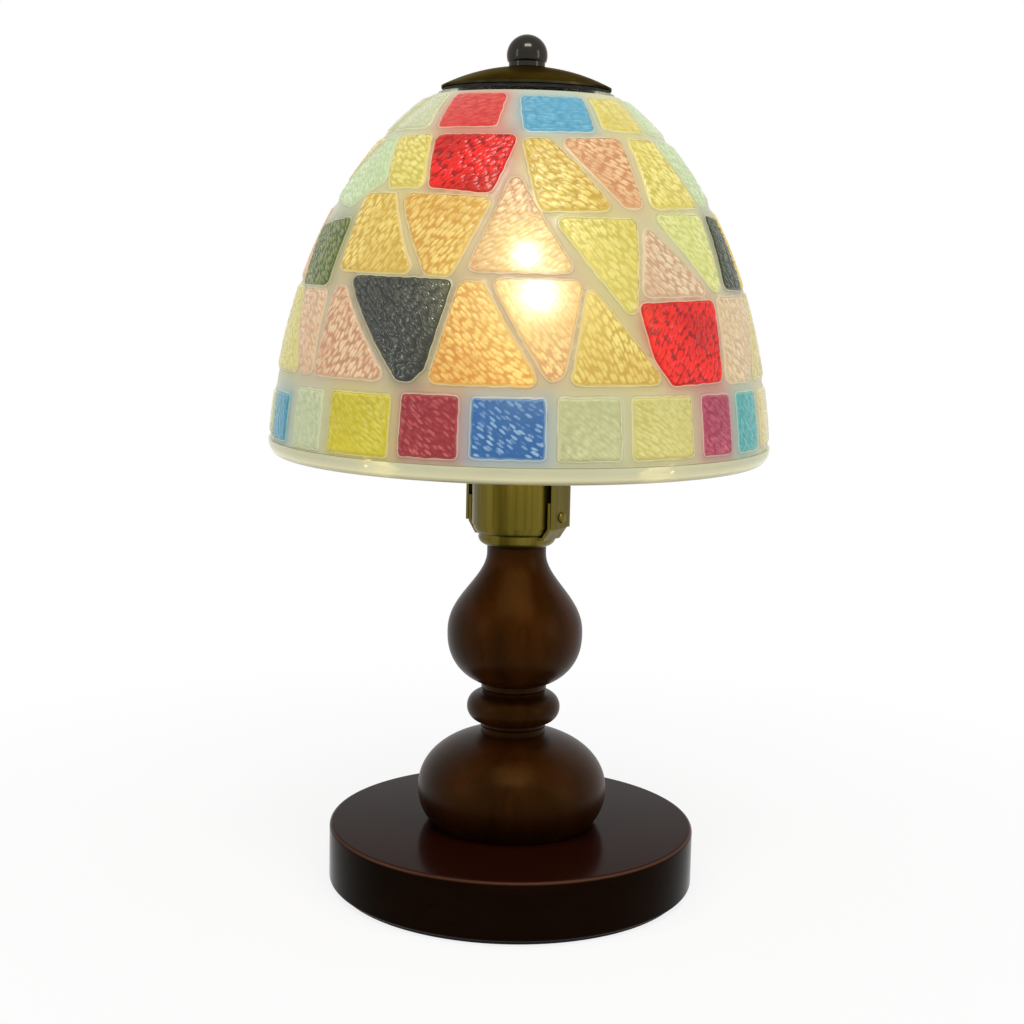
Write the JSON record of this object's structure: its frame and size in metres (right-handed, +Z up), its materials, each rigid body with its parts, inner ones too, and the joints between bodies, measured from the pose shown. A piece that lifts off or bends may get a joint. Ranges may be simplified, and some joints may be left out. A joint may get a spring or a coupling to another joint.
{
  "type": "table lamp",
  "caption": "Table lamp with a mosaic glass dome on a harp, a ball finial, a brass cup round the lampholder, a turned wooden column and a round wooden base.",
  "frame": {"origin": "centre of the underside, on the surface that the lamp stands on", "axes": "+Z up along the lamp's axis to the finial, -Y towards the viewer of the picture, +X to that viewer's right, +Y towards the cord inlet"},
  "size_m": [0.1998, 0.1998, 0.3423],
  "materials": {
    "felt": "thin matt black pad",
    "mahogany": "glossy lacquer over dark red-brown wood",
    "walnut": "satin lacquer over dark brown wood",
    "steel": "plain zinc-plated steel",
    "antique_brass": "satin antique brass",
    "bronze": "dark satin bronze",
    "black_bronze": "polished near-black bronze",
    "black_plastic": "matt black moulded plastic",
    "rubber": "soft black rubber",
    "opal_glass": "frosted white glass",
    "clear_glass": "clear glass",
    "mosaic": "raised pieces of hammered glass in pale grout",
    "tile_yellow": "hammered yellow glass",
    "tile_crimson": "hammered crimson glass",
    "tile_blue": "hammered blue glass",
    "tile_magenta": "hammered magenta glass",
    "tile_teal": "hammered teal glass",
    "tile_moss": "hammered dark green glass",
    "tile_red": "hammered red glass",
    "tile_pink": "hammered pink glass",
    "tile_sky": "hammered sky blue glass"
  },
  "bodies": {
    "stand": {"base_pad": "felt", "base_disc": "mahogany", "base_washer": "steel", "base_nut": "steel", "cord_bushing": "black_plastic", "centre_tube": "steel", "column_foot": "walnut", "column_ring": "walnut", "column_vase": "walnut", "check_ring": "antique_brass", "harp_saddle": "antique_brass", "socket_cup": "antique_brass", "cup_nut": "steel", "holder_body": "black_plastic", "holder_shell": "antique_brass", "tongue_rivet": "antique_brass", "terminal_screw_left": "antique_brass", "terminal_screw_right": "antique_brass", "harp": "antique_brass", "harp_rivet_left": "antique_brass", "harp_rivet_right": "antique_brass", "harp_stud": "antique_brass", "stud_nut": "antique_brass", "shade_support": "antique_brass", "support_nut": "antique_brass"},
    "contact": {"contact_tongue": "antique_brass"},
    "bulb_foot": {"bulb_tip": "steel"},
    "bulb": {"bulb_screw_cap": "steel", "bulb_insulator": "black_plastic", "bulb_envelope": "opal_glass", "bulb_stem": "opal_glass"},
    "grommet": {"shade_grommet": "rubber"},
    "shade": {"shade_glass": "clear_glass", "mosaic_bed": "mosaic", "tile_front_skirt_yellow": "tile_yellow", "tile_front_skirt_crimson": "tile_crimson", "tile_front_skirt_blue": "tile_blue", "tile_front_skirt_magenta": "tile_magenta", "tile_front_skirt_teal": "tile_teal", "tile_front_waist_green": "tile_moss", "tile_front_waist_red": "tile_red", "tile_front_shoulder_red": "tile_red", "tile_front_crown_pink": "tile_pink", "tile_front_crown_sky": "tile_sky", "tile_back_skirt_yellow": "tile_teal", "tile_back_skirt_crimson": "tile_blue", "tile_back_skirt_blue": "tile_crimson", "tile_back_skirt_magenta": "tile_yellow", "tile_back_skirt_teal": "tile_magenta", "tile_back_waist_green": "tile_sky", "tile_back_waist_red": "tile_moss", "tile_back_shoulder_red": "tile_blue", "tile_back_crown_pink": "tile_sky", "tile_back_crown_sky": "tile_pink"},
    "cap": {"shade_cap": "bronze", "cap_gasket": "rubber"},
    "finial_seat": {"finial_collar": "black_bronze"},
    "finial": {"finial_ball": "black_bronze"}
  },
  "joints": [
    {"name": "tongue_press", "type": "hinge", "parent": "stand", "child": "contact", "pos_m": [-0.0092, 0, 0.16045], "axis": [0, 1, 0], "range_deg": [0, 4], "stiffness_Nm_per_rad": 0.05},
    {"name": "bulb_rise", "type": "slide", "parent": "stand", "child": "bulb_foot", "axis": [0, 0, 1], "range_m": [0, 0.0163]},
    {"name": "bulb_turn", "type": "hinge", "parent": "bulb_foot", "child": "bulb", "pos_m": [0, 0, 0.18], "axis": [0, 0, 1], "range_deg": [0, 1620]},
    {"name": "shade_lift", "type": "slide", "parent": "stand", "child": "grommet", "axis": [0, 0, 1], "range_m": [0, 0.17]},
    {"name": "shade_turn", "type": "hinge", "parent": "grommet", "child": "shade", "pos_m": [0, 0, 0.3], "axis": [0, 0, 1], "continuous": true},
    {"name": "cap_lift", "type": "slide", "parent": "grommet", "child": "cap", "axis": [0, 0, 1], "range_m": [0, 0.03]},
    {"name": "finial_rise", "type": "slide", "parent": "cap", "child": "finial_seat", "axis": [0, 0, 1], "range_m": [0, 0.0065]},
    {"name": "finial_turn", "type": "hinge", "parent": "finial_seat", "child": "finial", "pos_m": [0, 0, 0.334], "axis": [0, 0, 1], "range_deg": [0, 2340]}
  ],
  "couplings": [
    {"joint": "bulb_turn", "follows": "bulb_rise", "rad_per_m": 1731.4},
    {"joint": "finial_turn", "follows": "finial_rise", "rad_per_m": 6283}
  ]
}
